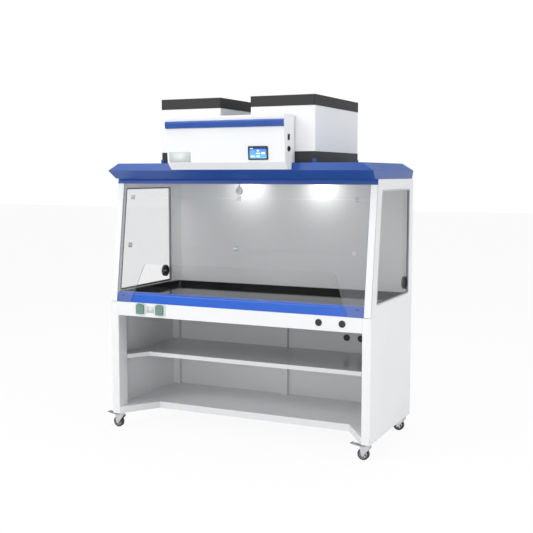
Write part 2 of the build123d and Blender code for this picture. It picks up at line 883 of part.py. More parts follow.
# Round sensor head on the fixed panel, with its stem up to the fascia
sensor_z = fascia_z - sensor_below_fascia
stem_length = sensor_below_fascia / math.cos(lean) - sensor_stem * math.tan(lean) - fit_gap
with BuildPart() as sensor_head:
    with BuildSketch(sash_plane(sensor_z)):
        Circle(sensor_radius)
    extrude(amount=sensor_thickness)
    fillet(sensor_head.edges().group_by(Axis.Y)[0], sheet)
    with BuildSketch(sash_plane(sensor_z).offset(sensor_thickness)):
        Circle(sensor_eye)
    extrude(amount=-sensor_eye_depth, mode=Mode.SUBTRACT)
    with BuildSketch(sash_plane(sensor_z)):
        with Locations((0, (stem_length + sensor_radius - sheet) / 2)):
            Rectangle(2 * sensor_stem, stem_length - sensor_radius + sheet)
    extrude(amount=sensor_stem)
keep(sensor_head, "sensor_head")

# Bumpers on the sill that the feet of the bottom panel rest against
bumper_z = sill_top - sill_nose - bumper_height / 2
with BuildPart() as sash_bumpers:
    with BuildSketch(right_facing(half_w - bumper_inset - bumper_width / 2)):
        Polygon(*sash_slab(bumper_z - bumper_height / 2, bumper_z + bumper_height / 2,
                           sash_thickness + fit_gap, sill_behind))
    extrude(amount=bumper_width)
    mirror(about=Plane.YZ)
keep(sash_bumpers, "sash_bumpers")

# Filter module places
module_x = (module_gap + module_width) / 2
module_front = front_y + module_setback
module_y = module_front + module_depth / 2
module_places = [(-module_x, module_y), (module_x, module_y)]

# Chamber ceiling: a tray with its edges folded up and an air opening under each module
ceiling_front = sash_y(roof_z, sash_thickness) + fit_gap
ceiling_back = liner_y + sheet
prefilter_y = (ceiling_front + liner_y) / 2 - lamp_from_liner / 2
with BuildPart() as ceiling_panel:
    with BuildSketch(Plane.XY.offset(ceiling_z)):
        with Locations((0, (ceiling_front + ceiling_back) / 2)):
            Rectangle(2 * worktop_half, ceiling_back - ceiling_front)
    extrude(amount=ceiling_drop)
    with BuildSketch(Plane.XY.offset(ceiling_z + sheet)):
        with Locations((0, (ceiling_front + ceiling_back) / 2)):
            Rectangle(2 * (worktop_half - sheet), ceiling_back - ceiling_front - 2 * sheet)
    extrude(amount=ceiling_drop, mode=Mode.SUBTRACT)
    with BuildSketch(Plane.XY.offset(ceiling_z)):
        with Locations((-module_x, prefilter_y), (module_x, prefilter_y)):
            Rectangle(prefilter_width - 2 * prefilter_overlap, prefilter_depth - 2 * prefilter_overlap)
    extrude(amount=sheet, mode=Mode.SUBTRACT)
keep(ceiling_panel, "ceiling_panel")

# Pre-filter pads that lie on the ceiling over the air openings
with BuildPart() as prefilters:
    with BuildSketch(Plane.XY.offset(ceiling_z + sheet)):
        with Locations((-module_x, prefilter_y), (module_x, prefilter_y)):
            Rectangle(prefilter_width, prefilter_depth)
    extrude(amount=prefilter_thickness)
keep(prefilters, "prefilters")

# Lamps under the ceiling, close to the back wall
lamp_y = liner_y - lamp_from_liner
with BuildPart() as lamps:
    with BuildSketch(Plane.XY.offset(ceiling_z)):
        with Locations((-lamp_spread / 2, lamp_y), (lamp_spread / 2, lamp_y)):
            RectangleRounded(lamp_width, lamp_depth, bend_radius)
    extrude(amount=-lamp_height)
keep(lamps, "lamps")

# Canopy: folded shell with an undercut front, sloping sides, fascia, module openings and corner tabs
canopy_front = front_y - canopy_nose
canopy_back = back_y - canopy_back_inset
ridge_half = half_w + canopy_side_bulge
canopy_levels = [
    (roof_z, ridge_half - canopy_side_undercut, canopy_front + canopy_undercut, canopy_back),
    (ridge_z, ridge_half, canopy_front, canopy_back),
    (canopy_top, ridge_half - canopy_side_slope, canopy_front + canopy_front_slope, canopy_back - canopy_back_slope),
]
shell_inset = 1.5 * sheet
canopy_inside = [
    (roof_z + sheet, ridge_half - canopy_side_undercut - shell_inset,
     canopy_front + canopy_undercut + shell_inset, canopy_back - shell_inset),
    (ridge_z, ridge_half - shell_inset, canopy_front + shell_inset, canopy_back - shell_inset),
    (canopy_top - sheet, ridge_half - canopy_side_slope - shell_inset / 2,
     canopy_front + canopy_front_slope + shell_inset, canopy_back - canopy_back_slope - shell_inset),
]
air_width = module_width - 2 * ledge_width
air_depth = module_depth - 2 * ledge_width
tab_reach_x = module_width / 2 + band_proud + sheet - tab_size / 2
tab_reach_y = module_depth / 2 + band_proud + sheet - tab_size / 2
tab_places = [(sx * tab_reach_x, sy * tab_reach_y) for sx in (-1, 1) for sy in (-1, 1)]
with BuildPart() as canopy:
    for levels, mode in ((canopy_levels, Mode.ADD), (canopy_inside, Mode.SUBTRACT)):
        for lower, upper in ((levels[0], levels[1]), (levels[1], levels[2])):
            for level_z, half, level_front, level_back in (lower, upper):
                with BuildSketch(Plane.XY.offset(level_z)):
                    with Locations((0, (level_front + level_back) / 2)):
                        Rectangle(2 * half, level_back - level_front)
            loft(ruled=True, mode=mode)
    opening_front = ceiling_front
    opening_back = canopy_back - canopy_flange
    with BuildSketch(Plane.XY.offset(roof_z)):
        with Locations((0, (opening_front + opening_back) / 2)):
            Rectangle(2 * (side_inside - canopy_flange), opening_back - opening_front)
    extrude(amount=sheet, mode=Mode.SUBTRACT)
    with BuildSketch(right_facing(-(half_w - fascia_edge))):
        Polygon(*sash_slab(fascia_z, roof_z + sheet, -sheet, 0))
    extrude(amount=2 * (half_w - fascia_edge))
    with BuildSketch(Plane.XY.offset(canopy_top)):
        with Locations(*module_places):
            Rectangle(air_width, air_depth)
    extrude(amount=-2 * sheet, mode=Mode.SUBTRACT)
    with BuildSketch(Plane.XY.offset(canopy_top - sheet / 2)):
        with Locations(*module_places):
            with Locations(*tab_places):
                Rectangle(tab_size, tab_size)
            Rectangle(module_width + 2 * band_proud, module_depth + 2 * band_proud, mode=Mode.SUBTRACT)
    extrude(amount=tab_height + sheet / 2)
keep(canopy, "canopy")

# Filter modules: plinth, shell with the fan plate, and cap with the exhaust grille
plinth_top = canopy_top + plinth_height
shell_top = plinth_top + shell_height
cap_top = shell_top + cap_height
band_width = module_width + 2 * band_proud
band_depth = module_depth + 2 * band_proud
band_corner = module_corner + band_proud
fan_plate_z = shell_top - fan_plate_below_cap
with BuildPart() as module_plinths:
    with BuildSketch(Plane.XY.offset(canopy_top)):
        with Locations(*module_places):
            RectangleRounded(band_width, band_depth, band_corner)
            Rectangle(air_width, air_depth, mode=Mode.SUBTRACT)
    extrude(amount=plinth_height)
    with BuildSketch(Plane.XY.offset(canopy_top + ledge_thickness)):
        with Locations(*module_places):
            Rectangle(module_width - 2 * sheet, module_depth - 2 * sheet)
    extrude(amount=plinth_height - 2 * ledge_thickness, mode=Mode.SUBTRACT)
keep(module_plinths, "module_plinths")

with BuildPart() as module_shells:
    with BuildSketch(Plane.XY.offset(plinth_top)):
        with Locations(*module_places):
            RectangleRounded(module_width, module_depth, module_corner)
            Rectangle(module_width - 2 * sheet, module_depth - 2 * sheet, mode=Mode.SUBTRACT)
    extrude(amount=shell_height)
    with BuildSketch(Plane.XY.offset(fan_plate_z)):
        with Locations(*module_places):
            Rectangle(module_width - sheet, module_depth - sheet)
            Circle(fan_inlet_radius, mode=Mode.SUBTRACT)
    extrude(amount=sheet)
    for module in module_places:
        with BuildSketch(Plane(origin=(module[0], module[1], fan_plate_z), x_dir=(1, 0, 0), z_dir=(0, -1, 0))):
            Polygon((fan_inlet_radius, 0), (fan_inlet_radius, sheet),
                    (fan_inlet_radius - fan_inlet_flare + sheet, fan_inlet_flare),
                    (fan_inlet_radius - fan_inlet_flare, fan_inlet_flare))
        revolve(axis=Axis((module[0], module[1], 0), (0, 0, 1)))
keep(module_shells, "module_shells")

grille_length = (module_width - 2 * grille_border - (grille_columns - 1) * grille_bar) / grille_columns
grille_pitch = (module_depth - 2 * grille_border + grille_bar) / grille_rows
with BuildPart() as module_caps:
    with BuildSketch(Plane.XY.offset(shell_top)):
        with Locations(*module_places):
            RectangleRounded(band_width, band_depth, band_corner)
    extrude(amount=cap_height)
    with BuildSketch(Plane.XY.offset(shell_top)):
        with Locations(*module_places):
            Rectangle(module_width - 2 * sheet, module_depth - 2 * sheet)
    extrude(amount=cap_height - ledge_thickness, mode=Mode.SUBTRACT)
    with BuildSketch(Plane.XY.offset(cap_top)):
        with Locations(*module_places):
            with GridLocations(grille_length + grille_bar, grille_pitch, grille_columns, grille_rows):
                Rectangle(grille_length, grille_pitch - grille_bar)
    extrude(amount=-ledge_thickness, mode=Mode.SUBTRACT)
keep(module_caps, "module_caps")

# Activated carbon filters that rest on the plinth ledges
with BuildPart() as carbon_filters:
    with BuildSketch(Plane.XY.offset(plinth_top)):
        with Locations(*module_places):
            Rectangle(module_width - 2 * sheet - 2 * fit_gap, module_depth - 2 * sheet - 2 * fit_gap)
    extrude(amount=carbon_height)
keep(carbon_filters, "carbon_filters")

# Fans: backward-curved impellers over the inlet rings, each hung on the shaft of its motor
shroud_z = fan_plate_z + sheet + fan_inlet_flare + impeller_gap
impeller_top = shroud_z + impeller_height
motor_low = impeller_top + motor_gap
blade_root = shroud_inner_radius + blade_margin
blade_end = impeller_radius - blade_margin
blade_tip = (blade_end * math.cos(math.radians(blade_sweep)), blade_end * math.sin(math.radians(blade_sweep)))


def blade_shape():
    """Section of one backward-curved blade."""
    with BuildSketch() as blade:
        with BuildLine():
            camber = RadiusArc((blade_root, 0), blade_tip, blade_curve_radius)
            offset(camber, amount=blade_thickness, side=Side.LEFT)
        make_face()
    return blade.sketch


def impeller(place):
    """Impeller with shroud ring, backward-curved blades, back plate and hub."""
    with BuildPart() as fan:
        with BuildSketch(Plane(origin=(place[0], place[1], shroud_z))):
            Circle(impeller_radius)
            Circle(shroud_inner_radius, mode=Mode.SUBTRACT)
        extrude(amount=impeller_plate)
        with BuildSketch(Plane(origin=(place[0], place[1], impeller_top))):
            Circle(impeller_radius)
        extrude(amount=-impeller_plate)
        with BuildSketch(Plane(origin=(place[0], place[1], impeller_top))):
            Circle(hub_radius)
        extrude(amount=-hub_height)
        with BuildSketch(Plane(origin=(place[0], place[1], shroud_z + impeller_plate / 2))):
            with PolarLocations(0, blade_count):
                add(blade_shape())
        extrude(amount=impeller_height - impeller_plate)
        with BuildSketch(Plane(origin=(place[0], place[1], impeller_top))):
            Circle(motor_shaft + shaft_clearance)
        extrude(amount=-hub_height, mode=Mode.SUBTRACT)
    return fan


keep(impeller(module_places[0]), "left_fan")
keep(impeller(module_places[1]), "right_fan")

with BuildPart() as fan_motors:
    with BuildSketch(Plane.XY.offset(motor_low)):
        with Locations(*module_places):
            Circle(motor_radius)
    extrude(amount=motor_height)
    with BuildSketch(Plane.XY.offset(motor_low)):
        with Locations(*module_places):
            Circle(motor_shaft)
    extrude(amount=-(motor_gap + hub_height))
    with BuildSketch(Plane.XY.offset(motor_low + motor_height)):
        with Locations(*module_places):
            Rectangle(module_width - 2 * sheet, motor_arm_width)
            Rectangle(motor_arm_width, module_depth - 2 * sheet)
    extrude(amount=motor_arm_thickness)
keep(fan_motors, "fan_motors")

# Control box: folded housing with a leaning face, standing on the canopy in front of the modules
control_half = control_width / 2
control_top = canopy_top + control_rise
control_back = module_front - band_proud - sheet - fit_gap
control_front = front_y - control_reach
control_low = canopy_top - control_drop
face_slope = math.tan(math.radians(control_face_lean))
chin_z = control_low + control_chin_height
chin_y = control_front + (control_top - chin_z) * face_slope
canopy_slope_run = canopy_front_slope / canopy_slope
control_clear = canopy_front - fit_gap


def control_face_y(z):
    """Y of the leaning front face of the control box at height z."""
    return control_front + (control_top - z) * face_slope


control_outline = [
    (control_front, control_top),
    (chin_y, chin_z),
    (chin_y + control_chin_depth, control_low),
    (control_clear + max(control_low - ridge_z, 0) * canopy_slope_run, control_low),
    (control_clear + canopy_front_slope, canopy_top),
    (control_back, canopy_top),
    (control_back, control_top),
]
inlet_y = control_front + switch_from_front
switch_z = control_top - switch_below_top
inlet_z = control_top - inlet_below_top
display_x = control_half - display_from_side - display_width / 2
display_z = control_top - display_below_top - display_height / 2
with BuildPart() as control_box:
    with BuildSketch(right_facing(-control_half)):
        Polygon(*control_outline)
    extrude(amount=2 * control_half)
    fillet(control_box.edges().filter_by(Axis.X).group_by(Axis.Z)[-1].sort_by(Axis.Y)[0], control_edge)
    with BuildSketch(right_facing(-(control_half - control_wall))):
        Polygon(*control_outline)
        offset(amount=-control_wall, kind=Kind.INTERSECTION)
    extrude(amount=2 * (control_half - control_wall), mode=Mode.SUBTRACT)
    with BuildSketch(Plane.XY.offset(canopy_top)):
        with Locations((0, control_back - cable_slot_depth)):
            RectangleRounded(cable_slot_width, cable_slot_depth, control_edge)
    extrude(amount=2 * control_wall, both=True, mode=Mode.SUBTRACT)
    with BuildSketch(right_facing(control_half)):
        with Locations((inlet_y, switch_z)):
            Rectangle(switch_width - 2 * switch_frame_wall, switch_height - 2 * switch_frame_wall)
        with Locations((inlet_y, inlet_z)):
            Circle(inlet_radius - inlet_wall)
    extrude(amount=-2 * control_wall, mode=Mode.SUBTRACT)
keep(control_box, "control_box")

# Rounded trim bar along the top of the control face
trim_high = control_top - trim_below_top
trim_low = trim_high - trim_height
with BuildPart() as control_trim:
    with BuildSketch(right_facing(-control_half)) as trim_section:
        Polygon((control_face_y(trim_low), trim_low), (control_face_y(trim_high), trim_high),
                (control_face_y(trim_high) - trim_proud, trim_high),
                (control_face_y(trim_low) - trim_proud, trim_low))
        fillet(trim_section.vertices().sort_by(Axis.X)[:2], trim_round)
    extrude(amount=2 * control_half)
keep(control_trim, "control_trim")

# Display: bezel on the control face with a recessed screen
display_plane = Plane(
    origin=(display_x, control_face_y(display_z), display_z),
    x_dir=(1, 0, 0),
    z_dir=(0, -math.cos(math.radians(control_face_lean)), -math.sin(math.radians(control_face_lean))),
)
with BuildPart() as display:
    with BuildSketch(display_plane):
        RectangleRounded(display_width, display_height, bend_radius)
    extrude(amount=display_depth)
    with BuildSketch(display_plane.offset(display_depth)):
        Rectangle(display_width - 2 * screen_border, display_height - 2 * screen_border)
    extrude(amount=-screen_recess, mode=Mode.SUBTRACT)
keep(display, "display")

# Switch frame and round power inlet on the right side of the control box
with BuildPart() as side_fittings:
    with BuildSketch(right_facing(control_half)):
        with Locations((inlet_y, switch_z)):
            RectangleRounded(switch_width, switch_height, switch_frame_wall / 2)
        with Locations((inlet_y, inlet_z)):
            Circle(inlet_radius)
    extrude(amount=switch_frame_proud)
    with BuildSketch(right_facing(control_half + switch_frame_proud)):
        with Locations((inlet_y, switch_z)):
            Rectangle(switch_width - 2 * switch_frame_wall - 2 * fit_gap,
                      switch_height - 2 * switch_frame_wall - 2 * fit_gap)
        with Locations((inlet_y, inlet_z)):
            Circle(inlet_radius - inlet_wall - fit_gap)
    extrude(amount=-(switch_depth + switch_frame_proud))
    with BuildSketch(right_facing(control_half + switch_frame_proud)):
        with Locations((inlet_y, switch_z)):
            Rectangle(switch_width - 4 * switch_frame_wall, switch_height - 4 * switch_frame_wall)
    extrude(amount=-(switch_depth + switch_frame_proud - switch_frame_wall), mode=Mode.SUBTRACT)
    with BuildSketch(right_facing(control_half)):
        with Locations((inlet_y, inlet_z)):
            Circle(inlet_radius - inlet_wall)
    extrude(amount=inlet_proud)
    with BuildSketch(right_facing(control_half + inlet_proud)):
        with Locations((inlet_y, inlet_z)):
            Circle(inlet_radius - 2 * inlet_wall)
    extrude(amount=-(inlet_depth - inlet_wall), mode=Mode.SUBTRACT)
    with BuildSketch(right_facing(control_half + inlet_proud - inlet_wall)):
        with Locations((inlet_y, inlet_z)):
            with PolarLocations(inlet_pin_circle, inlet_pin_count):
                Circle(inlet_pin)
    extrude(amount=-(inlet_depth - inlet_wall))
keep(side_fittings, "side_fittings")

# Rocker that tips on the middle of its frame
rocker_width = switch_width - 4 * switch_frame_wall - 2 * fit_gap
frame_reach = switch_frame_proud + switch_frame_wall
rocker_swing = math.radians(switch_angle)
rocker_half = (switch_height / 2 - 2 * switch_frame_wall) * math.cos(rocker_swing)
rocker_half = rocker_half - frame_reach * math.sin(rocker_swing) - fit_gap
rocker_axis_x = control_half - switch_frame_wall
rocker_crown = switch_frame_proud + 2 * switch_frame_wall
rocker_tip = rocker_crown + rocker_half * math.sin(rocker_swing)
with BuildPart() as switch_rocker:
    with BuildSketch(Plane(origin=(rocker_axis_x, inlet_y, switch_z), x_dir=(1, 0, 0), z_dir=(0, -1, 0))):
        Polygon((-switch_frame_wall, 0), (0, -rocker_half), (rocker_tip, -rocker_half),
                (rocker_crown, 0), (rocker_tip, rocker_half), (0, rocker_half))
    extrude(amount=rocker_width / 2, both=True)
keep(switch_rocker, "switch_rocker")

# Casters: fixed plates with kingpins
wheel_x_ahead = -wheel_trail
race_low = caster_height - caster_plate_thickness - race_height
crown_high = race_low - fit_gap - fork_race_height
crown_low = crown_high - fork_thickness
nut_high = crown_low - fit_gap
with BuildPart() as caster_plates:
    with BuildSketch(Plane.XY.offset(caster_height)):
        with Locations(*caster_places):
            RectangleRounded(caster_plate_size, caster_plate_size, bend_radius)
    extrude(amount=-caster_plate_thickness)
    with BuildSketch(Plane.XY.offset(caster_height - caster_plate_thickness)):
        with Locations(*caster_places):
            Circle(race_radius)
    extrude(amount=-race_height, taper=race_taper)
    with BuildSketch(Plane.XY.offset(race_low)):
        with Locations(*caster_places):
            Circle(kingpin_radius)
    extrude(amount=nut_high - race_low)
    with BuildSketch(Plane.XY.offset(nut_high)):
        with Locations(*caster_places):
            RegularPolygon(kingpin_nut, 6)
    extrude(amount=-kingpin_nut_height)
keep(caster_plates, "caster_plates")

leg_inside = wheel_width / 2 + fork_gap
leg_outside = leg_inside + fork_thickness
pivot_x = wheel_x_ahead - brake_pivot_ahead
pivot_z = wheel_radius + brake_pivot_height
crown_back = race_radius
crown_front = pivot_x + brake_barrel + fit_gap


def caster_fork(place):
    """Swivelling fork: race, crown, two legs, axle with heads and the pin of the brake pedal."""
    x, y = place
    with BuildPart() as fork:
        with BuildSketch(Plane(origin=(x, y, crown_high))):
            Circle(race_radius)
        extrude(amount=fork_race_height)
        with BuildSketch(Plane(origin=(x, y, crown_low))):
            with Locations(((crown_back + crown_front) / 2, 0)):
                Rectangle(crown_back - crown_front, 2 * leg_outside)
        extrude(amount=fork_thickness)
        for side in (-1, 1):
            with BuildSketch(Plane(origin=(x, y + side * leg_inside, 0), x_dir=(1, 0, 0), z_dir=(0, -1, 0))):
                Polygon((crown_back, crown_high), (crown_back, crown_low - fork_thickness),
                        (wheel_x_ahead + fork_eye, wheel_radius), (wheel_x_ahead - fork_eye, wheel_radius),
                        (pivot_x - brake_barrel, pivot_z - brake_barrel),
                        (pivot_x - brake_barrel, crown_high))
                with Locations((wheel_x_ahead, wheel_radius)):
                    Circle(fork_eye)
            extrude(amount=-side * fork_thickness)
        for centre_x, centre_z, radius in ((wheel_x_ahead, wheel_radius, axle_radius), (pivot_x, pivot_z, brake_pin)):
            with BuildSketch(Plane(origin=(x, y, 0), x_dir=(1, 0, 0), z_dir=(0, -1, 0))):
                with Locations((centre_x, centre_z)):
                    Circle(radius)
            extrude(amount=leg_outside, both=True)
        for side in (-1, 1):
            with BuildSketch(Plane(origin=(x, y + side * leg_outside, 0), x_dir=(1, 0, 0), z_dir=(0, -1, 0))):
                with Locations((wheel_x_ahead, wheel_radius)):
                    Circle(axle_head)
            extrude(amount=-side * axle_head_thickness)
        with BuildSketch(Plane(origin=(x, y, crown_high + fork_race_height))):
            Circle(kingpin_radius + shaft_clearance)
        extrude(amount=-(fork_race_height + fork_thickness), mode=Mode.SUBTRACT)
    return fork


def caster_wheel(place):
    """Wheel turned in one section: tyre, rim, web and boss round the axle bore, with holes in the web."""
    x, y = place
    hub_edge = wheel_radius - tyre_depth
    section = [
        (axle_radius + shaft_clearance, (wheel_width + fork_gap) / 2),
        (wheel_boss, (wheel_width + fork_gap) / 2),
        (wheel_boss, wheel_web / 2),
        (hub_edge - wheel_rim_wall, wheel_web / 2),
        (hub_edge - wheel_rim_wall, wheel_rim_width / 2),
        (hub_edge, wheel_rim_width / 2),
        (hub_edge, wheel_width / 2),
        (wheel_radius - tyre_chamfer, wheel_width / 2),
        (wheel_radius, wheel_width / 2 - tyre_chamfer),
    ]
    other_half = [(radius, -across) for radius, across in reversed(section)]
    centre = (x + wheel_x_ahead, y, wheel_radius)
    with BuildPart() as wheel:
        with BuildSketch(Plane(origin=centre)):
            Polygon(*section, *other_half)
        revolve(axis=Axis(centre, (0, 1, 0)))
        with BuildSketch(Plane(origin=centre, x_dir=(1, 0, 0), z_dir=(0, -1, 0))):
            with PolarLocations((hub_edge + wheel_boss) / 2, web_hole_count):
                Circle(web_hole)
        extrude(amount=wheel_width, both=True, mode=Mode.SUBTRACT)
    return wheel


def brake_pedal(place):
    """Brake pedal on its pin: barrel with a cam nose, neck between the legs and a wide tread."""
    x, y = place
    side_view = Plane(origin=(x, y, 0), x_dir=(1, 0, 0), z_dir=(0, -1, 0))
    to_wheel = math.atan2(wheel_radius - pivot_z, wheel_x_ahead - pivot_x)
    nose = to_wheel - math.radians(brake_range)
    barrel_half = leg_inside - fit_gap
    neck_x = pivot_x - brake_barrel - pedal_neck
    tip_x = pivot_x - pedal_length
    tread_rise = pedal_rise * (pivot_x - neck_x) / pedal_length
    with BuildPart() as pedal:
        with BuildSketch(side_view):
            with Locations((pivot_x, pivot_z)):
                Circle(brake_barrel)
            with Locations((pivot_x + brake_nose_reach * math.cos(nose), pivot_z + brake_nose_reach * math.sin(nose))):
                Circle(brake_nose)
            Polygon((pivot_x, pivot_z), (pivot_x, pivot_z + brake_barrel),
                    (neck_x, pivot_z + brake_barrel + tread_rise),
                    (neck_x, pivot_z + brake_barrel + tread_rise - pedal_thickness))
        extrude(amount=barrel_half, both=True)
        with BuildSketch(side_view):
            Polygon((neck_x, pivot_z + brake_barrel + tread_rise - pedal_thickness),
                    (neck_x, pivot_z + brake_barrel + tread_rise),
                    (tip_x, pivot_z + brake_barrel + pedal_rise),
                    (tip_x, pivot_z + brake_barrel + pedal_rise - 2 * pedal_thickness),
                    (tip_x + pedal_thickness, pivot_z + brake_barrel + pedal_rise - pedal_thickness))
        extrude(amount=pedal_width / 2, both=True)
        with BuildSketch(side_view):
            with Locations((pivot_x, pivot_z)):
                Circle(brake_pin + shaft_clearance)
        extrude(amount=pedal_width, both=True, mode=Mode.SUBTRACT)
    return pedal


caster_names = ("left_front", "left_back", "right_front", "right_back")
for caster_name, caster_place in zip(caster_names, caster_places):
    keep(caster_fork(caster_place), caster_name + "_fork")
    keep(caster_wheel(caster_place), caster_name + "_wheel")
    keep(brake_pedal(caster_place), caster_name + "_brake")
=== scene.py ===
import math

import bmesh
import bpy
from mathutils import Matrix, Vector


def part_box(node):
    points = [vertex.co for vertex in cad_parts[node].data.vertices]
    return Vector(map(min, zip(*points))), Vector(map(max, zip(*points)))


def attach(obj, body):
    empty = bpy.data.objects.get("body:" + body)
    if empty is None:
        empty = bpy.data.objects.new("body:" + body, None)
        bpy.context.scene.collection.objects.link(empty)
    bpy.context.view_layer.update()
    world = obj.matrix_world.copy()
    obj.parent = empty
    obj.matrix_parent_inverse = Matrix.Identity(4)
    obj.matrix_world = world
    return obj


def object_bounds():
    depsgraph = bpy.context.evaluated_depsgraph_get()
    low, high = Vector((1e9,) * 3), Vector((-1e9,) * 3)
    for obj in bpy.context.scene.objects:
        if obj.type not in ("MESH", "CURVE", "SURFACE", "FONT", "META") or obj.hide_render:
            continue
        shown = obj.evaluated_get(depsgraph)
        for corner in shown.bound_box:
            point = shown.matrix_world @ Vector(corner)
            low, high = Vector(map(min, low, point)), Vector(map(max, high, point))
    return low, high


# The looks of the ductless fume hood. Lengths are in metres.
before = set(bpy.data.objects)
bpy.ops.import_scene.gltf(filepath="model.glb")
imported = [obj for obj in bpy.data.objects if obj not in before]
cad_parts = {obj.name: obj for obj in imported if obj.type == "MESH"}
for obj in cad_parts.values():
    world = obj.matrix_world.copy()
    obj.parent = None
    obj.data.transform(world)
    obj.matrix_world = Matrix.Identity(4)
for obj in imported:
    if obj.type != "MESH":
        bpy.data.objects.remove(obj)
cad_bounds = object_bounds()

# Camera fitted to the photograph
CAMERA_PLACE = (2.1518, -4.5369, 1.4091)
CAMERA_YAW = 25.1
CAMERA_PITCH = 5.6
CAMERA_LENS = 62.17
CAMERA_SENSOR = 36.0
CAMERA_SHIFT = (0.0019, -0.0032)

# Lean of the sash plane and of the control face, in degrees
SASH_LEAN = 7.65
CONTROL_LEAN = 4.7

# Colours, linear
WHITE = (0.80, 0.81, 0.82, 1)
SHELF_WHITE = (0.74, 0.75, 0.76, 1)
BLUE = (0.014, 0.072, 0.33, 1)
SILL_BLUE = (0.02, 0.115, 0.56, 1)
BAND_BLACK = (0.013, 0.013, 0.014, 1)
TOP_BLACK = (0.012, 0.012, 0.013, 1)
RUBBER_BLACK = (0.018, 0.018, 0.019, 1)
SEAL_LIP_GREY = (0.50, 0.51, 0.52, 1)
PANEL_EDGE = (0.20, 0.23, 0.23, 1)
HUB_GREY = (0.30, 0.30, 0.31, 1)
TYRE_BLACK = (0.022, 0.022, 0.024, 1)

# Distance from the middle where the seals' outer lip begins, radius of a caster's hub and its soft edge
SEAL_LIP = 0.7425
HUB_RADIUS = 0.0222
HUB_EDGE = 0.0004


def node(tree, kind, place=(0, 0), **values):
    """New shader node with the given settings: a name of an input sets that input."""
    made = tree.nodes.new(kind)
    made.location = place
    for name, value in values.items():
        key = name.replace("_", " ")
        if key in made.inputs:
            made.inputs[key].default_value = value
        else:
            setattr(made, name, value)
    return made


def material(name):
    """Node material with a Principled shader linked to its output."""
    made = bpy.data.materials.new(name)
    made.use_nodes = True
    tree = made.node_tree
    tree.nodes.clear()
    output = node(tree, "ShaderNodeOutputMaterial", (900, 0))
    shader = node(tree, "ShaderNodeBsdfPrincipled", (600, 0))
    tree.links.new(shader.outputs["BSDF"], output.inputs["Surface"])
    return made, tree, shader


def vary(tree, shader, colour, scale, amount):
    """Base colour with soft cloudy variation at the given scale."""
    coords = node(tree, "ShaderNodeTexCoord", (-800, 200))
    noise = node(tree, "ShaderNodeTexNoise", (-600, 200), Scale=scale, Detail=3.0)
    ramp = node(tree, "ShaderNodeValToRGB", (-400, 200))
    dark = tuple(c * (1 - amount) for c in colour[:3]) + (1,)
    ramp.color_ramp.elements[0].position = 0.3
    ramp.color_ramp.elements[0].color = dark
    ramp.color_ramp.elements[1].position = 0.7
    ramp.color_ramp.elements[1].color = colour
    tree.links.new(coords.outputs["Object"], noise.inputs["Vector"])
    tree.links.new(noise.outputs["Fac"], ramp.inputs["Fac"])
    tree.links.new(ramp.outputs["Color"], shader.inputs["Base Color"])
    return coords


def grain(tree, shader, coords, scale, depth, edge=0.0):
    """Fine surface relief, over rounded edges where edge is more than nothing."""
    noise = node(tree, "ShaderNodeTexNoise", (-200, -300), Scale=scale, Detail=2.0)
    bump = node(tree, "ShaderNodeBump", (0, -300), Strength=0.25, Distance=depth)
    tree.links.new(coords.outputs["Object"], noise.inputs["Vector"])
    tree.links.new(noise.outputs["Fac"], bump.inputs["Height"])
    if edge > 0:
        bevel = node(tree, "ShaderNodeBevel", (-200, -550), Radius=edge, samples=4)
        tree.links.new(bevel.outputs["Normal"], bump.inputs["Normal"])
    tree.links.new(bump.outputs["Normal"], shader.inputs["Normal"])


def roughness(tree, shader, coords, low, high, scale):
    """Roughness that drifts between two values."""
    noise = node(tree, "ShaderNodeTexNoise", (-400, 0), Scale=scale, Detail=4.0)
    ramp = node(tree, "ShaderNodeMapRange", (-200, 0))
    ramp.inputs["To Min"].default_value = low
    ramp.inputs["To Max"].default_value = high
    tree.links.new(coords.outputs["Object"], noise.inputs["Vector"])
    tree.links.new(noise.outputs["Fac"], ramp.inputs["Value"])
    tree.links.new(ramp.outputs["Result"], shader.inputs["Roughness"])


def powder_coat(name, colour, low=0.32, high=0.42, variation=0.03, edge=0.0012, coat=0.0):
    """Painted sheet steel: faint orange peel, slight tone drift and softened folds."""
    made, tree, shader = material(name)
    coords = vary(tree, shader, colour, 2.5, variation)
    roughness(tree, shader, coords, low, high, 9.0)
    grain(tree, shader, coords, 700.0, 0.00012, edge)
    shader.inputs["Specular IOR Level"].default_value = 0.45
    shader.inputs["Coat Weight"].default_value = coat
    shader.inputs["Coat Roughness"].default_value = 0.12
    return made


def moulded(name, colour, low=0.45, high=0.55, peel=1100.0, depth=0.00015, edge=0.0006):
    """Moulded plastic or rubber with a fine mould grain."""
    made, tree, shader = material(name)
    coords = vary(tree, shader, colour, 40.0, 0.12)
    roughness(tree, shader, coords, low, high, 60.0)
    grain(tree, shader, coords, peel, depth, edge)
    return made


def plated(name, colour, low=0.18, high=0.32, stretch=(1, 1, 12)):
    """Plated or brushed metal with fine directional marks."""
    made, tree, shader = material(name)
    coords = vary(tree, shader, colour, 30.0, 0.12)
    shader.inputs["Metallic"].default_value = 1.0
    roughness(tree, shader, coords, low, high, 90.0)
    mapping = node(tree, "ShaderNodeMapping", (-400, -300))
    mapping.inputs["Scale"].default_value = stretch
    noise = node(tree, "ShaderNodeTexNoise", (-200, -300), Scale=600.0, Detail=2.0)
    bump = node(tree, "ShaderNodeBump", (0, -300), Strength=0.2, Distance=0.0001)
    tree.links.new(coords.outputs["Object"], mapping.inputs["Vector"])
    tree.links.new(mapping.outputs["Vector"], noise.inputs["Vector"])
    tree.links.new(noise.outputs["Fac"], bump.inputs["Height"])
    tree.links.new(bump.outputs["Normal"], shader.inputs["Normal"])
    return made


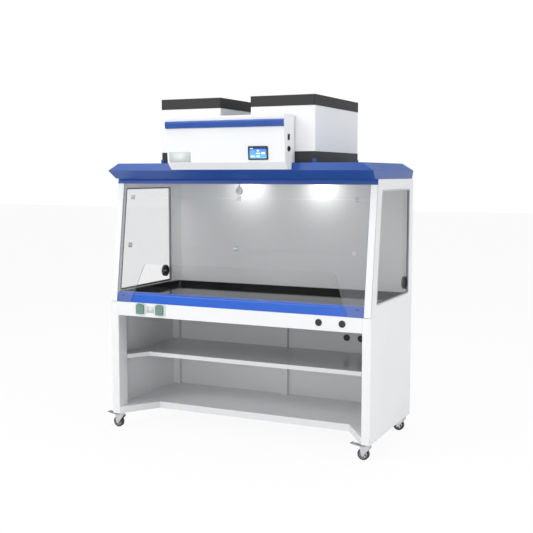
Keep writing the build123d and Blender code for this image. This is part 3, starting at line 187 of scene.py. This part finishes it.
def clear_panel(name, tint, edge_tint, film, rim, facing):
    """Clear sheet: nearly see-through faces with a thin haze, and denser cut edges."""
    made, tree, shader = material(name)
    coords = node(tree, "ShaderNodeTexCoord", (-900, 0))
    dot = node(tree, "ShaderNodeVectorMath", (-700, 0), operation="DOT_PRODUCT")
    dot.inputs[1].default_value = facing
    absolute = node(tree, "ShaderNodeMath", (-550, 0), operation="ABSOLUTE")
    face = node(tree, "ShaderNodeMath", (-400, 0), operation="GREATER_THAN")
    face.inputs[1].default_value = 0.9
    alpha = node(tree, "ShaderNodeMapRange", (-200, 0))
    alpha.inputs["To Min"].default_value = rim
    alpha.inputs["To Max"].default_value = film
    noise = node(tree, "ShaderNodeTexNoise", (-400, 300), Scale=3.0, Detail=2.0)
    ramp = node(tree, "ShaderNodeValToRGB", (-200, 300))
    ramp.color_ramp.elements[0].color = tuple(c * 0.96 for c in tint[:3]) + (1,)
    ramp.color_ramp.elements[1].color = tint
    tree.links.new(coords.outputs["Object"], noise.inputs["Vector"])
    tree.links.new(noise.outputs["Fac"], ramp.inputs["Fac"])
    both = node(tree, "ShaderNodeMix", (0, 300), data_type="RGBA")
    both.inputs[6].default_value = edge_tint
    tree.links.new(face.outputs[0], both.inputs["Factor"])
    tree.links.new(ramp.outputs["Color"], both.inputs[7])
    tree.links.new(both.outputs[2], shader.inputs["Base Color"])
    tree.links.new(coords.outputs["Normal"], dot.inputs[0])
    tree.links.new(dot.outputs["Value"], absolute.inputs[0])
    tree.links.new(absolute.outputs[0], face.inputs[0])
    tree.links.new(face.outputs[0], alpha.inputs["Value"])
    tree.links.new(alpha.outputs["Result"], shader.inputs["Alpha"])
    shader.inputs["Roughness"].default_value = 0.04
    shader.inputs["Specular IOR Level"].default_value = 0.7
    return made


def glowing(name, colour, strength):
    """Opal lamp cover with rows of light points behind it."""
    made, tree, shader = material(name)
    coords = vary(tree, shader, (0.9, 0.9, 0.88, 1), 20.0, 0.03)
    voronoi = node(tree, "ShaderNodeTexVoronoi", (-200, -400), Scale=55.0, Randomness=0.0)
    glow = node(tree, "ShaderNodeMapRange", (0, -400))
    glow.inputs["From Max"].default_value = 0.012
    glow.inputs["To Min"].default_value = strength * 1.3
    glow.inputs["To Max"].default_value = strength
    tree.links.new(coords.outputs["Object"], voronoi.inputs["Vector"])
    tree.links.new(voronoi.outputs["Distance"], glow.inputs["Value"])
    tree.links.new(glow.outputs["Result"], shader.inputs["Emission Strength"])
    shader.inputs["Emission Color"].default_value = colour
    shader.inputs["Roughness"].default_value = 0.5
    return made


def caster_rubber(name, centre, hub_radius):
    """Dark tyre outside the hub's radius and grey moulded hub inside it."""
    made, tree, shader = material(name)
    coords = node(tree, "ShaderNodeTexCoord", (-900, 0))
    offset = node(tree, "ShaderNodeVectorMath", (-700, 0), operation="SUBTRACT")
    offset.inputs[1].default_value = centre
    flat = node(tree, "ShaderNodeVectorMath", (-550, 0), operation="MULTIPLY")
    flat.inputs[1].default_value = (1, 0, 1)
    length = node(tree, "ShaderNodeVectorMath", (-400, 0), operation="LENGTH")
    ramp = node(tree, "ShaderNodeMapRange", (-250, 0))
    ramp.inputs["From Min"].default_value = hub_radius - HUB_EDGE
    ramp.inputs["From Max"].default_value = hub_radius + HUB_EDGE
    mix = node(tree, "ShaderNodeMix", (-50, 100), data_type="RGBA")
    mix.inputs[6].default_value = HUB_GREY
    mix.inputs[7].default_value = TYRE_BLACK
    noise = node(tree, "ShaderNodeTexNoise", (-400, -300), Scale=500.0, Detail=2.0)
    bump = node(tree, "ShaderNodeBump", (-100, -300), Strength=0.3, Distance=0.0002)
    tree.links.new(coords.outputs["Object"], offset.inputs[0])
    tree.links.new(offset.outputs["Vector"], flat.inputs[0])
    tree.links.new(flat.outputs["Vector"], length.inputs[0])
    tree.links.new(length.outputs["Value"], ramp.inputs["Value"])
    tree.links.new(ramp.outputs["Result"], mix.inputs["Factor"])
    tree.links.new(mix.outputs[2], shader.inputs["Base Color"])
    tree.links.new(coords.outputs["Object"], noise.inputs["Vector"])
    tree.links.new(noise.outputs["Fac"], bump.inputs["Height"])
    tree.links.new(bump.outputs["Normal"], shader.inputs["Normal"])
    shader.inputs["Roughness"].default_value = 0.55
    return made


def seal_rubber(name, split):
    """Dark rubber inside the hood, and its pale lip outside the given distance from the middle."""
    made, tree, shader = material(name)
    coords = node(tree, "ShaderNodeTexCoord", (-900, 0))
    axes = node(tree, "ShaderNodeSeparateXYZ", (-700, 0))
    absolute = node(tree, "ShaderNodeMath", (-550, 0), operation="ABSOLUTE")
    outside = node(tree, "ShaderNodeMath", (-400, 0), operation="GREATER_THAN")
    outside.inputs[1].default_value = split
    mix = node(tree, "ShaderNodeMix", (-200, 0), data_type="RGBA")
    mix.inputs[6].default_value = RUBBER_BLACK
    mix.inputs[7].default_value = SEAL_LIP_GREY
    tree.links.new(coords.outputs["Object"], axes.inputs["Vector"])
    tree.links.new(axes.outputs["X"], absolute.inputs[0])
    tree.links.new(absolute.outputs[0], outside.inputs[0])
    tree.links.new(outside.outputs[0], mix.inputs["Factor"])
    tree.links.new(mix.outputs[2], shader.inputs["Base Color"])
    grain(tree, shader, coords, 900.0, 0.0002)
    roughness(tree, shader, coords, 0.5, 0.65, 60.0)
    return made


def dress(made, *names):
    """Give one material to whole CAD nodes."""
    for name in names:
        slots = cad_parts[name].material_slots
        for slot in slots:
            slot.material = made


sash_normal = (0, -math.cos(math.radians(SASH_LEAN)), math.sin(math.radians(SASH_LEAN)))

white_coat = powder_coat("white_coat", WHITE)
shelf_coat = powder_coat("shelf_coat", SHELF_WHITE, 0.12, 0.2, coat=0.3)
inside_coat = powder_coat("inside_coat", (0.70, 0.71, 0.715, 1), 0.3, 0.4)
blue_coat = powder_coat("blue_coat", BLUE, 0.28, 0.38, 0.08)
sill_coat = powder_coat("sill_coat", SILL_BLUE, 0.26, 0.36, 0.06)
band_coat = powder_coat("band_coat", BAND_BLACK, 0.4, 0.5, 0.1)
resin_top = powder_coat("resin_top", TOP_BLACK, 0.05, 0.09, 0.1, 0.0008)
clear_sash = clear_panel("clear_sash", (0.40, 0.42, 0.44, 1), PANEL_EDGE, 0.12, 0.8, sash_normal)
clear_window = clear_panel("clear_window", (0.55, 0.57, 0.59, 1), PANEL_EDGE, 0.08, 0.6, (1, 0, 0))
rubber = moulded("rubber", RUBBER_BLACK, 0.6, 0.75)
plug_plastic = moulded("plug_plastic", (0.012, 0.012, 0.013, 1), 0.3, 0.4)
white_plastic = moulded("white_plastic", (0.75, 0.76, 0.75, 1), 0.25, 0.35)
grey_plastic = moulded("grey_plastic", (0.45, 0.46, 0.47, 1), 0.35, 0.45)
black_plastic = moulded("black_plastic", (0.01, 0.01, 0.011, 1), 0.35, 0.45)
cover_plastic = moulded("cover_plastic", (0.15, 0.27, 0.22, 1), 0.12, 0.2)
chrome = plated("chrome", (0.50, 0.51, 0.53, 1), 0.2, 0.3)
zinc = plated("zinc", (0.62, 0.63, 0.65, 1))
brake_metal = plated("brake_metal", (0.50, 0.51, 0.53, 1), 0.25, 0.4)
lamp_glow = glowing("lamp_glow", (1.0, 0.99, 0.97, 1), 15.0)
filter_pad = moulded("filter_pad", (0.72, 0.72, 0.70, 1), 0.8, 0.95, 260.0, 0.0012, 0.0)
carbon = moulded("carbon", (0.02, 0.02, 0.021, 1), 0.7, 0.9, 300.0, 0.0015, 0.0)
fan_plastic = moulded("fan_plastic", (0.03, 0.03, 0.032, 1), 0.4, 0.5)
alloy = plated("alloy", (0.6, 0.6, 0.61, 1), 0.35, 0.5, (1, 1, 1))

dress(white_coat, "base_deck", "left_base_side", "right_base_side", "front_apron", "left_hood_side",
      "right_hood_side", "hood_back", "side_strips", "module_shells", "control_box")
dress(inside_coat, "back_uprights", "base_back_panel", "shelf_brackets", "chamber_liner", "ceiling_panel")
dress(shelf_coat, "middle_shelf")
dress(blue_coat, "canopy", "control_trim")
dress(sill_coat, "front_sill")
dress(band_coat, "module_plinths", "module_caps")
dress(resin_top, "worktop")
dress(clear_sash, "top_sash", "middle_sash", "bottom_sash")
dress(clear_window, "side_windows")
dress(seal_rubber("seal_rubber", SEAL_LIP), "hood_seals")
dress(rubber, "side_grommets", "sash_bumpers")
dress(plug_plastic, "hole_plugs")
dress(chrome, "top_sash_hinges", "middle_sash_hinges", "bottom_sash_hinges")
dress(white_plastic, "socket_frames")
dress(cover_plastic, "left_socket_cover", "right_socket_cover")
dress(grey_plastic, "sensor_head")
dress(black_plastic, "side_fittings", "switch_rocker", "display")
dress(lamp_glow, "lamps")
dress(filter_pad, "prefilters")
dress(carbon, "carbon_filters")
dress(fan_plastic, "left_fan", "right_fan")
dress(alloy, "fan_motors")
dress(zinc, "caster_plates")
for corner in ("left_front", "left_back", "right_front", "right_back"):
    low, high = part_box(corner + "_wheel")
    middle = (low + high) / 2
    dress(zinc, corner + "_fork")
    dress(brake_metal, corner + "_brake")
    dress(caster_rubber(corner + "_rubber", tuple(middle), HUB_RADIUS), corner + "_wheel")


def add_piece(name, body, finish, build, bevel=0.0):
    """Mesh piece made by a build function on a bmesh, placed on its body."""
    mesh = bpy.data.meshes.new(name)
    shape = bmesh.new()
    build(shape)
    if bevel > 0:
        edges = [e for e in shape.edges if len(e.link_faces) == 2 and e.calc_face_angle(0) > 0.5]
        bmesh.ops.bevel(shape, geom=edges, offset=bevel, segments=2, affect="EDGES")
    shape.to_mesh(mesh)
    shape.free()
    piece = bpy.data.objects.new(name, mesh)
    bpy.context.scene.collection.objects.link(piece)
    mesh.materials.append(finish)
    for polygon in mesh.polygons:
        polygon.use_smooth = bevel > 0
    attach(piece, body)


def slab(shape, centre, across, up, out, width, height, thickness):
    """Box on a face: centre of its back, its three directions and its three sizes."""
    corners = []
    for depth in (0, thickness):
        for sign_x, sign_y in ((-1, -1), (1, -1), (1, 1), (-1, 1)):
            corners.append(shape.verts.new(centre + across * sign_x * width / 2 + up * sign_y * height / 2
                                           + out * depth))
    for ring in ((3, 2, 1, 0), (4, 5, 6, 7), (0, 1, 5, 4), (1, 2, 6, 5), (2, 3, 7, 6), (3, 0, 4, 7)):
        shape.faces.new([corners[i] for i in ring])


# Screen of the display: a plain operating page without words
display_low, display_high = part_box("display")
display_mid = (display_low + display_high) / 2
control_up = Vector((0, -math.sin(math.radians(CONTROL_LEAN)), math.cos(math.radians(CONTROL_LEAN))))
control_out = Vector((0, -math.cos(math.radians(CONTROL_LEAN)), -math.sin(math.radians(CONTROL_LEAN))))
RIGHT = Vector((1, 0, 0))
SCREEN_SIZE = (0.092, 0.052)
BEZEL_DEPTH = 0.005
SCREEN_RECESS = 0.0013
SCREEN_GLOW = 0.55


def screen_page(name):
    """Lit screen: blue page, darker head line, two mid-blue tiles and three rows of light tiles."""
    made, tree, shader = material(name)
    coords = node(tree, "ShaderNodeTexCoord", (-1400, 0))
    split = node(tree, "ShaderNodeSeparateXYZ", (-1200, 0))
    tree.links.new(coords.outputs["UV"], split.inputs["Vector"])
    sky = node(tree, "ShaderNodeValToRGB", (-900, 200))
    sky.color_ramp.elements[0].color = (0.16, 0.42, 0.86, 1)
    sky.color_ramp.elements[1].color = (0.03, 0.13, 0.50, 1)
    tree.links.new(split.outputs["Y"], sky.inputs["Fac"])
    colour = sky.outputs["Color"]
    light = (0.62, 0.80, 0.95, 1)

    def band(socket, low, high, place):
        above = node(tree, "ShaderNodeMath", place, operation="GREATER_THAN")
        above.inputs[1].default_value = low
        below = node(tree, "ShaderNodeMath", (place[0], place[1] - 150), operation="LESS_THAN")
        below.inputs[1].default_value = high
        both = node(tree, "ShaderNodeMath", (place[0] + 150, place[1]), operation="MULTIPLY")
        tree.links.new(socket, above.inputs[0])
        tree.links.new(socket, below.inputs[0])
        tree.links.new(above.outputs[0], both.inputs[0])
        tree.links.new(below.outputs[0], both.inputs[1])
        return both.outputs[0]

    tiles = [
        ((0.00, 1.00), (0.86, 1.00), (0.01, 0.05, 0.22, 1)),
        ((0.03, 0.22), (0.90, 0.96), light),
        ((0.08, 0.30), (0.56, 0.74), (0.10, 0.30, 0.72, 1)),
        ((0.70, 0.92), (0.40, 0.58), light),
        ((0.70, 0.92), (0.14, 0.30), (0.10, 0.30, 0.72, 1)),
        ((0.42, 0.60), (0.12, 0.26), light),
        ((0.40, 0.62), (0.42, 0.52), light),
        ((0.44, 0.58), (0.66, 0.80), light),
        ((0.08, 0.30), (0.12, 0.26), light),
    ]
    for step, (wide, tall, tone) in enumerate(tiles):
        x_band = band(split.outputs["X"], wide[0], wide[1], (-900, -200 - 400 * step))
        y_band = band(split.outputs["Y"], tall[0], tall[1], (-900, -400 - 400 * step))
        both = node(tree, "ShaderNodeMath", (-500, -300 - 400 * step), operation="MULTIPLY")
        mix = node(tree, "ShaderNodeMix", (-300, -300 - 400 * step), data_type="RGBA")
        mix.inputs[7].default_value = tone
        tree.links.new(x_band, both.inputs[0])
        tree.links.new(y_band, both.inputs[1])
        tree.links.new(both.outputs[0], mix.inputs["Factor"])
        tree.links.new(colour, mix.inputs[6])
        colour = mix.outputs[2]
    tree.links.new(colour, shader.inputs["Base Color"])
    tree.links.new(colour, shader.inputs["Emission Color"])
    shader.inputs["Emission Strength"].default_value = SCREEN_GLOW
    shader.inputs["Roughness"].default_value = 0.15
    return made


def build_screen(shape):
    centre = display_mid + control_out * (BEZEL_DEPTH / 2 - SCREEN_RECESS)
    layer = shape.loops.layers.uv.new("UVMap")
    corners = []
    for x, y in ((-1, -1), (1, -1), (1, 1), (-1, 1)):
        corners.append(shape.verts.new(centre + RIGHT * x * SCREEN_SIZE[0] / 2
                                       + control_up * y * SCREEN_SIZE[1] / 2))
    face = shape.faces.new(corners)
    for loop, place in zip(face.loops, ((0, 0), (1, 0), (1, 1), (0, 1))):
        loop[layer].uv = place


add_piece("screen_page", "hood", screen_page("screen_page"), build_screen)

# Blank rating plate low on the left of the control face, and the blank plate between the sockets
CONTROL_FRONT = -0.443
CONTROL_TOP = 1.700
RATING_PLATE_AT = (-0.257, 1.497)
RATING_PLATE_SIZE = (0.126, 0.052)
SOCKET_PLATE_AT = (-0.499, -0.343, 0.683)
SOCKET_PLATE_SIZE = (0.044, 0.036)
PLATE_THICKNESS = 0.0006
PLATE_EDGE = 0.0003
plate_film = powder_coat("plate_film", (0.70, 0.74, 0.75, 1), 0.3, 0.4, 0.06)


def control_face(x, z):
    """Point on the leaning control face."""
    return Vector((x, CONTROL_FRONT + (CONTROL_TOP - z) * math.tan(math.radians(CONTROL_LEAN)), z))


add_piece("blank_rating_plate", "hood", plate_film,
          lambda shape: slab(shape, control_face(*RATING_PLATE_AT), RIGHT, control_up, control_out,
                             *RATING_PLATE_SIZE, PLATE_THICKNESS), PLATE_EDGE)
add_piece("blank_socket_plate", "hood", plate_film,
          lambda shape: slab(shape, Vector(SOCKET_PLATE_AT), RIGHT, Vector((0, 0, 1)), Vector((0, -1, 0)),
                             *SOCKET_PLATE_SIZE, PLATE_THICKNESS), PLATE_EDGE)


def build_screw(shape, place, out, radius, height):
    """Low domed screw head with a round recess."""
    turn = out.to_track_quat("Z", "Y").to_matrix().to_4x4()
    rings = []
    steps = 12
    for ring_radius, lift in ((radius, 0.0), (radius, 0.35 * height), (0.8 * radius, 0.8 * height),
                              (0.4 * radius, height)):
        ring = []
        for step in range(steps):
            angle = 2 * math.pi * step / steps
            spot = Vector((ring_radius * math.cos(angle), ring_radius * math.sin(angle), lift))
            ring.append(shape.verts.new(place + turn @ spot))
        rings.append(ring)
    for lower, upper in zip(rings, rings[1:]):
        for step in range(steps):
            after = (step + 1) % steps
            shape.faces.new((lower[step], lower[after], upper[after], upper[step]))
    middle = shape.verts.new(place + turn @ Vector((0, 0, 0.55 * height)))
    for step in range(steps):
        after = (step + 1) % steps
        shape.faces.new((rings[-1][step], rings[-1][after], middle))


def screws(name, body, finish, places, out, radius=0.0018, height=0.0009):
    """One piece that holds a set of like screws."""
    def build(shape):
        for place in places:
            build_screw(shape, Vector(place), Vector(out), radius, height)
    add_piece(name, body, finish, build)


# Screws on the hinge leaves
sash_up = Vector((0, math.sin(math.radians(SASH_LEAN)), math.cos(math.radians(SASH_LEAN))))
sash_out = Vector(sash_normal)
FRONT = -0.345
SEAM = 0.716
HINGE_X = (-0.648, 0.0, 0.648)
LEAF_REACH = 0.0085
LEAF_FACE = 0.0015
SCREW_SPREAD = 0.0075
TOP_SEAM = 1.286
LOW_SEAM = 1.026


def sash_point(x, z):
    """Point on the outer face of the closed sash."""
    return Vector((x, FRONT + (z - SEAM) * math.tan(math.radians(SASH_LEAN)), z))


def leaf_screws(seam, way):
    """Screw places on the leaves above or below one seam."""
    places = []
    for x in HINGE_X:
        for side in (-1, 1):
            places.append(sash_point(x + side * SCREW_SPREAD, seam) + sash_up * way * LEAF_REACH
                          + sash_out * LEAF_FACE)
    return places


dark_screw = plated("dark_screw", (0.25, 0.25, 0.26, 1), 0.25, 0.35)
screws("top_leaf_screws", "hood", dark_screw, leaf_screws(TOP_SEAM, 1), sash_out)
screws("middle_leaf_screws", "middle_panel", dark_screw,
       leaf_screws(TOP_SEAM, -1) + leaf_screws(LOW_SEAM, 1), sash_out)
screws("bottom_leaf_screws", "bottom_panel", dark_screw,
       leaf_screws(LOW_SEAM, -1), sash_out)

# Screws along the back covers
BACK = 0.345
BACK_SCREW_X = (-0.70, -0.35, 0.0, 0.35, 0.70)
BACK_SCREW_Z = (0.150, 0.690, 0.742, 1.360)
back_places = [(x, BACK, z) for x in BACK_SCREW_X for z in BACK_SCREW_Z]
screws("back_cover_screws", "hood", chrome, back_places, (0, 1, 0), 0.004, 0.002)


# Studio: floor, light and camera
FLOOR_HALF = 30.0
FLOOR_SHARE = 0.93
WORLD_LIGHT = 0.5


def build_floor():
    """Large pale floor that keeps a soft shadow and shows white to the camera."""
    mesh = bpy.data.meshes.new("studio_floor")
    corners = [(x * FLOOR_HALF, y * FLOOR_HALF, 0) for x, y in ((-1, -1), (1, -1), (1, 1), (-1, 1))]
    mesh.from_pydata(corners, [], [(0, 1, 2, 3)])
    floor = bpy.data.objects.new("studio_floor", mesh)
    bpy.context.scene.collection.objects.link(floor)
    made, tree, shader = material("floor_white")
    output = tree.nodes["Material Output"]
    vary(tree, shader, (0.86, 0.86, 0.86, 1), 1.5, 0.01)
    shader.inputs["Roughness"].default_value = 0.6
    shader.inputs["Specular IOR Level"].default_value = 0.2
    path = node(tree, "ShaderNodeLightPath", (0, 500))
    seen = node(tree, "ShaderNodeMath", (200, 500), operation="MAXIMUM")
    seen_all = node(tree, "ShaderNodeMath", (350, 500), operation="MAXIMUM")
    share = node(tree, "ShaderNodeMath", (500, 500), operation="MULTIPLY")
    share.inputs[1].default_value = FLOOR_SHARE
    white = node(tree, "ShaderNodeEmission", (500, 300), Strength=1.0)
    white.inputs["Color"].default_value = (1, 1, 1, 1)
    mix = node(tree, "ShaderNodeMixShader", (750, 200))
    tree.links.new(path.outputs["Is Camera Ray"], seen.inputs[0])
    tree.links.new(path.outputs["Is Glossy Ray"], seen.inputs[1])
    tree.links.new(seen.outputs[0], seen_all.inputs[0])
    tree.links.new(path.outputs["Is Transmission Ray"], seen_all.inputs[1])
    tree.links.new(seen_all.outputs[0], share.inputs[0])
    tree.links.new(share.outputs[0], mix.inputs["Fac"])
    tree.links.new(shader.outputs["BSDF"], mix.inputs[1])
    tree.links.new(white.outputs["Emission"], mix.inputs[2])
    tree.links.new(mix.outputs["Shader"], output.inputs["Surface"])
    mesh.materials.append(made)


def build_world():
    """Soft grey surroundings that the camera sees as white."""
    world = bpy.data.worlds.new("studio")
    bpy.context.scene.world = world
    world.use_nodes = True
    tree = world.node_tree
    tree.nodes.clear()
    output = node(tree, "ShaderNodeOutputWorld", (600, 0))
    soft = node(tree, "ShaderNodeBackground", (0, 0), Strength=WORLD_LIGHT)
    soft.inputs["Color"].default_value = (0.98, 0.985, 1.0, 1)
    white = node(tree, "ShaderNodeBackground", (0, -200), Strength=1.0)
    white.inputs["Color"].default_value = (1, 1, 1, 1)
    path = node(tree, "ShaderNodeLightPath", (0, 400))
    seen = node(tree, "ShaderNodeMath", (200, 300), operation="MAXIMUM")
    mix = node(tree, "ShaderNodeMixShader", (400, 0))
    tree.links.new(path.outputs["Is Camera Ray"], seen.inputs[0])
    tree.links.new(path.outputs["Is Transmission Ray"], seen.inputs[1])
    tree.links.new(seen.outputs[0], mix.inputs["Fac"])
    tree.links.new(soft.outputs["Background"], mix.inputs[1])
    tree.links.new(white.outputs["Background"], mix.inputs[2])
    tree.links.new(mix.outputs["Shader"], output.inputs["Surface"])


def soft_light(name, place, target, size, power):
    """Area light turned to a point of the hood."""
    data = bpy.data.lights.new(name, "AREA")
    data.shape = "RECTANGLE"
    data.size = size[0]
    data.size_y = size[1]
    data.energy = power
    light = bpy.data.objects.new(name, data)
    light.location = place
    direction = Vector(target) - Vector(place)
    light.rotation_euler = direction.to_track_quat("-Z", "Y").to_euler()
    bpy.context.scene.collection.objects.link(light)


def build_camera():
    """Camera at the photograph's angle."""
    data = bpy.data.cameras.new("photo_camera")
    data.lens = CAMERA_LENS
    data.sensor_width = CAMERA_SENSOR
    data.shift_x, data.shift_y = CAMERA_SHIFT
    camera = bpy.data.objects.new("photo_camera", data)
    camera.location = CAMERA_PLACE
    camera.rotation_euler = (math.radians(90 - CAMERA_PITCH), 0, math.radians(CAMERA_YAW))
    bpy.context.scene.collection.objects.link(camera)
    bpy.context.scene.camera = camera


build_floor()
build_world()
soft_light("key_light", (-2.6, -4.0, 3.8), (0, 0, 0.9), (2.6, 2.6), 95)
soft_light("front_fill", (0.8, -5.2, 1.0), (0, 0, 0.6), (3.4, 1.6), 60)
soft_light("right_fill", (5.0, 0.2, 2.6), (0, 0, 1.0), (2.5, 2.5), 75)
soft_light("top_light", (0, -0.6, 4.4), (0, 0, 1.0), (3.2, 2.6), 80)
build_camera()
bpy.context.scene.view_settings.view_transform = "Standard"

low, high = cad_bounds
